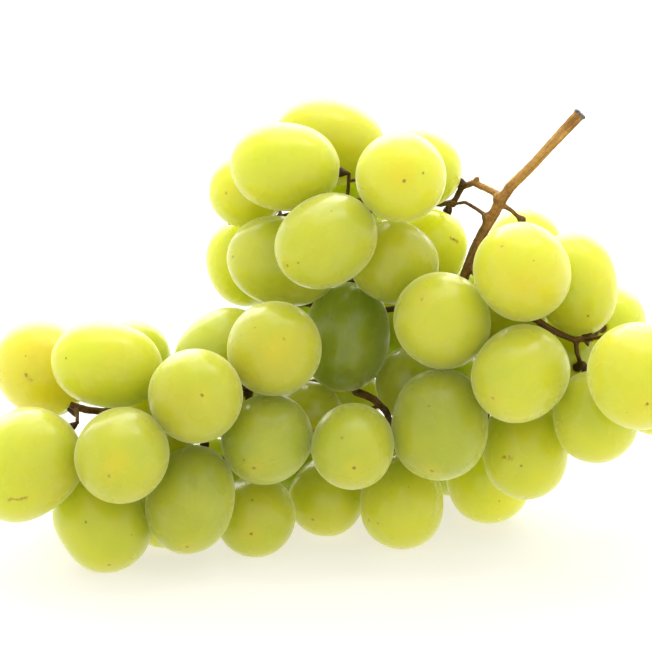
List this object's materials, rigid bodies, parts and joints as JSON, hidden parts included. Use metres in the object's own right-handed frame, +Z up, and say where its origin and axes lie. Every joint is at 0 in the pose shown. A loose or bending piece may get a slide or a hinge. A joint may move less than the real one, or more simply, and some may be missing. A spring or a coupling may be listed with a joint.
{
  "type": "bunch of white grapes",
  "caption": "Cut bunch of white table grapes lying on its side, with plump oval berries on thin pedicels and a branching woody stem.",
  "frame": {"origin": "centre of the bunch's footprint, on the surface that it lies on", "axes": "+X along the bunch, from its tail to the shoulder beside the cut stem; +Y from its face to its back; +Z up"},
  "size_m": [0.1824, 0.1012, 0.1081],
  "materials": {
    "skin": "satin",
    "stem": "matte"
  },
  "bodies": {
    "root": {"stem": "stem", "wing_berry_01": "skin", "wing_berry_02": "skin", "wing_berry_03": "skin", "wing_berry_04": "skin", "wing_berry_05": "skin", "wing_berry_06": "skin", "wing_berry_07": "skin", "wing_berry_08": "skin", "wing_berry_09": "skin", "wing_berry_10": "skin", "wing_berry_11": "skin", "wing_berry_12": "skin", "wing_berry_13": "skin", "middle_berry_01": "skin", "middle_berry_02": "skin", "middle_berry_03": "skin", "middle_berry_04": "skin", "middle_berry_05": "skin", "middle_berry_06": "skin", "middle_berry_07": "skin", "middle_berry_08": "skin", "middle_berry_09": "skin", "middle_berry_10": "skin", "middle_berry_11": "skin", "middle_berry_12": "skin", "middle_berry_13": "skin", "middle_berry_14": "skin", "middle_berry_15": "skin", "middle_berry_16": "skin", "middle_berry_17": "skin", "middle_berry_18": "skin", "middle_berry_19": "skin", "middle_berry_20": "skin", "middle_berry_21": "skin", "tail_berry_01": "skin", "tail_berry_02": "skin", "tail_berry_03": "skin", "tail_berry_04": "skin", "tail_berry_05": "skin", "tail_berry_06": "skin", "tail_berry_07": "skin", "tail_berry_08": "skin", "tail_berry_09": "skin", "tail_berry_10": "skin", "shoulder_berry_01": "skin", "shoulder_berry_02": "skin", "shoulder_berry_03": "skin", "shoulder_berry_04": "skin", "shoulder_berry_05": "skin", "shoulder_berry_06": "skin", "shoulder_berry_07": "skin", "shoulder_berry_08": "skin", "shoulder_berry_09": "skin", "shoulder_berry_10": "skin", "shoulder_berry_11": "skin", "shoulder_berry_12": "skin", "shoulder_berry_13": "skin", "shoulder_berry_14": "skin", "shoulder_berry_15": "skin"}
  },
  "joints": []
}
